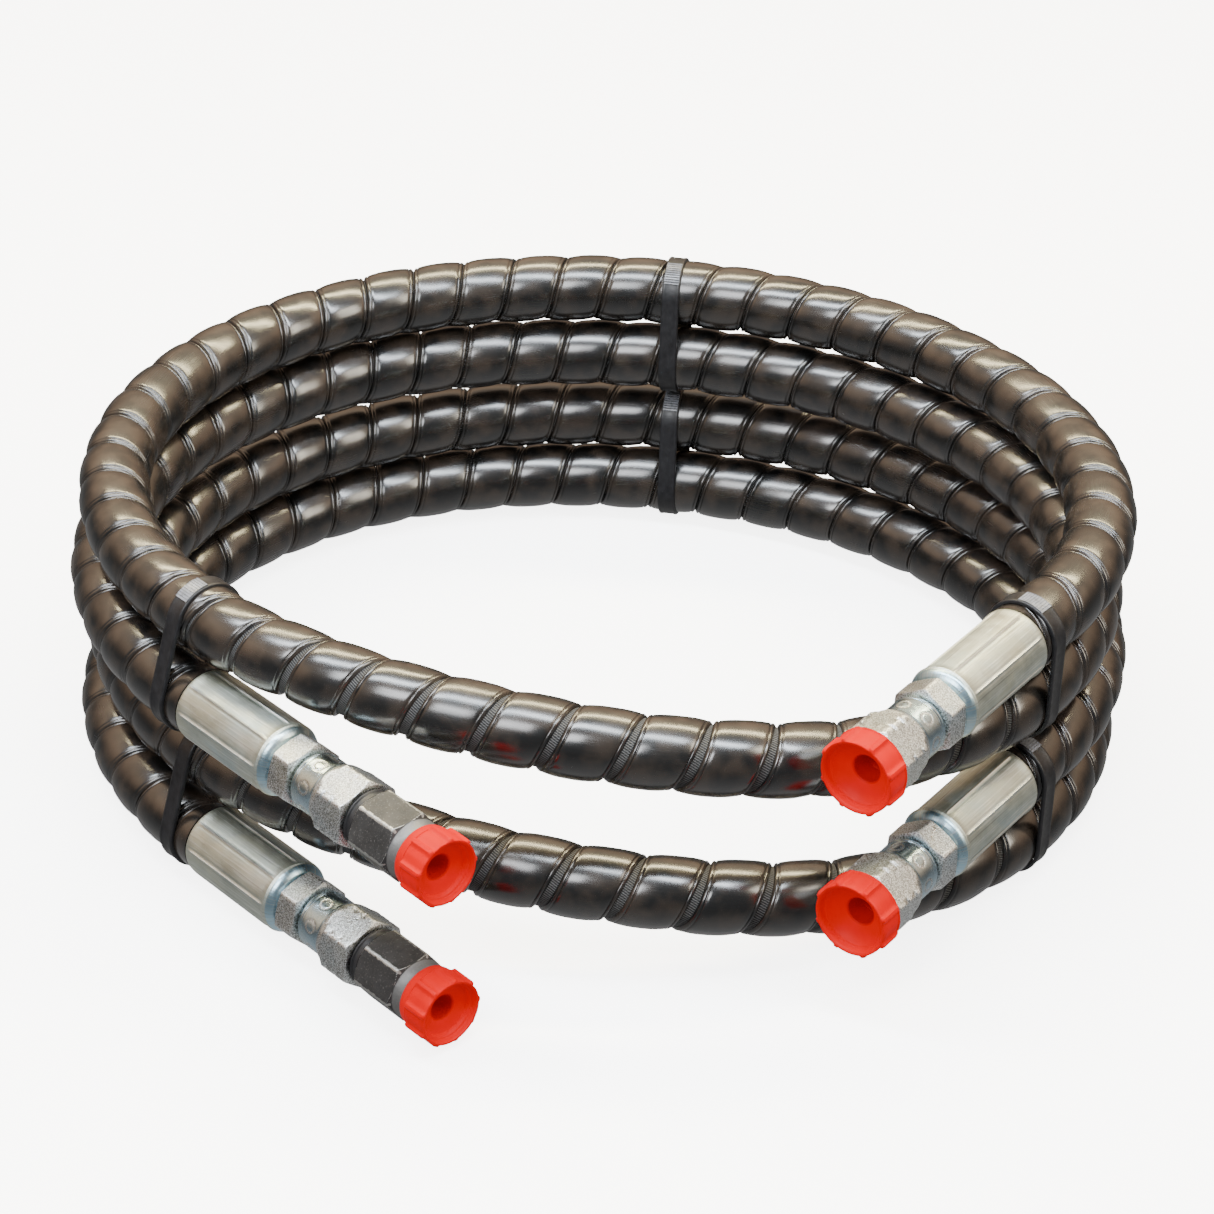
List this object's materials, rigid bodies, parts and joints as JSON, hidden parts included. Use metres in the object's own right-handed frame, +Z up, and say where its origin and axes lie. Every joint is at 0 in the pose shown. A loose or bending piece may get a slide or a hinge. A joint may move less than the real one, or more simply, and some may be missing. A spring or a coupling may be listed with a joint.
{
  "type": "hydraulic hose assembly",
  "caption": "Coiled hydraulic hose assemblies lying stacked, each in a spiral guard, with crimped ferrules, swivel nuts, a capped adapter, a red plug and cable ties.",
  "frame": {"origin": "under the middle of the footprint, on the surface the lower coil lies on", "axes": "+X from the capped fitting towards the plugged fitting, +Y from the fittings towards the back of the coil, +Z up"},
  "size_m": [0.4142, 0.4144, 0.1218],
  "materials": {
    "guard_plastic": "black, semi-gloss, rolled edges",
    "hose_rubber": "dark grey, fabric-marked, matt",
    "braid_wire": "brass-coated steel wire",
    "liner_rubber": "smooth, black",
    "zinc_plate": "zinc plated, satin, faint blue and yellow passivation",
    "black_steel": "blackened, dull",
    "seal_rubber": "black",
    "red_plastic": "bright red polyethylene, semi-gloss",
    "tie_nylon": "black nylon, semi-gloss"
  },
  "bodies": {
    "lower_hose": {"lower_spiral_guard": "guard_plastic", "lower_hose_cover": "hose_rubber", "lower_hose_wire_braid": "braid_wire", "lower_hose_inner_tube": "liner_rubber", "lower_cable_tie_left": "tie_nylon", "lower_cable_tie_back": "tie_nylon", "lower_cable_tie_right": "tie_nylon", "lower_ferrule_left": "zinc_plate", "lower_ferrule_right": "zinc_plate", "lower_stem_left": "zinc_plate", "lower_stem_right": "zinc_plate"},
    "lower_nut_left": {"lower_swivel_nut_left": "zinc_plate"},
    "lower_adapter": {"lower_adapter_left": "black_steel", "lower_adapter_seal_ring": "seal_rubber"},
    "lower_cap": {"lower_cap_left": "red_plastic"},
    "lower_nut_right": {"lower_swivel_nut_right": "zinc_plate"},
    "lower_plug": {"lower_plug_right": "red_plastic"},
    "upper_hose": {"upper_spiral_guard": "guard_plastic", "upper_hose_cover": "hose_rubber", "upper_hose_wire_braid": "braid_wire", "upper_hose_inner_tube": "liner_rubber", "upper_cable_tie_left": "tie_nylon", "upper_cable_tie_back": "tie_nylon", "upper_cable_tie_right": "tie_nylon", "upper_ferrule_left": "zinc_plate", "upper_ferrule_right": "zinc_plate", "upper_stem_left": "zinc_plate", "upper_stem_right": "zinc_plate"},
    "upper_nut_left": {"upper_swivel_nut_left": "zinc_plate"},
    "upper_adapter": {"upper_adapter_left": "black_steel", "upper_adapter_seal_ring": "seal_rubber"},
    "upper_cap": {"upper_cap_left": "red_plastic"},
    "upper_nut_right": {"upper_swivel_nut_right": "zinc_plate"},
    "upper_plug": {"upper_plug_right": "red_plastic"}
  },
  "joints": [
    {"name": "upper_lift", "type": "slide", "parent": "lower_hose", "child": "upper_hose", "axis": [0, 0, 1], "range_m": [0, 0.12]},
    {"name": "lower_nut_left_swivel", "type": "hinge", "parent": "lower_hose", "child": "lower_nut_left", "pos_m": [-0.08485, -0.15948, 0.0161], "axis": [0.6549, -0.7557, 0], "continuous": true},
    {"name": "lower_adapter_unscrew", "type": "slide", "parent": "lower_nut_left", "child": "lower_adapter", "axis": [0.6549, -0.7557, 0], "range_m": [0, 0.02]},
    {"name": "lower_cap_pull", "type": "slide", "parent": "lower_adapter", "child": "lower_cap", "axis": [0.6549, -0.7557, 0], "range_m": [0, 0.015]},
    {"name": "lower_nut_right_swivel", "type": "hinge", "parent": "lower_hose", "child": "lower_nut_right", "pos_m": [0.10085, -0.16771, 0.0447], "axis": [-0.5825, -0.8128, 0], "continuous": true},
    {"name": "lower_plug_pull", "type": "slide", "parent": "lower_nut_right", "child": "lower_plug", "axis": [-0.5825, -0.8128, 0], "range_m": [0, 0.015]},
    {"name": "upper_nut_left_swivel", "type": "hinge", "parent": "upper_hose", "child": "upper_nut_left", "pos_m": [-0.08485, -0.15948, 0.0772], "axis": [0.6549, -0.7557, 0], "continuous": true},
    {"name": "upper_adapter_unscrew", "type": "slide", "parent": "upper_nut_left", "child": "upper_adapter", "axis": [0.6549, -0.7557, 0], "range_m": [0, 0.02]},
    {"name": "upper_cap_pull", "type": "slide", "parent": "upper_adapter", "child": "upper_cap", "axis": [0.6549, -0.7557, 0], "range_m": [0, 0.015]},
    {"name": "upper_nut_right_swivel", "type": "hinge", "parent": "upper_hose", "child": "upper_nut_right", "pos_m": [0.10085, -0.16771, 0.1058], "axis": [-0.5825, -0.8128, 0], "continuous": true},
    {"name": "upper_plug_pull", "type": "slide", "parent": "upper_nut_right", "child": "upper_plug", "axis": [-0.5825, -0.8128, 0], "range_m": [0, 0.015]}
  ]
}
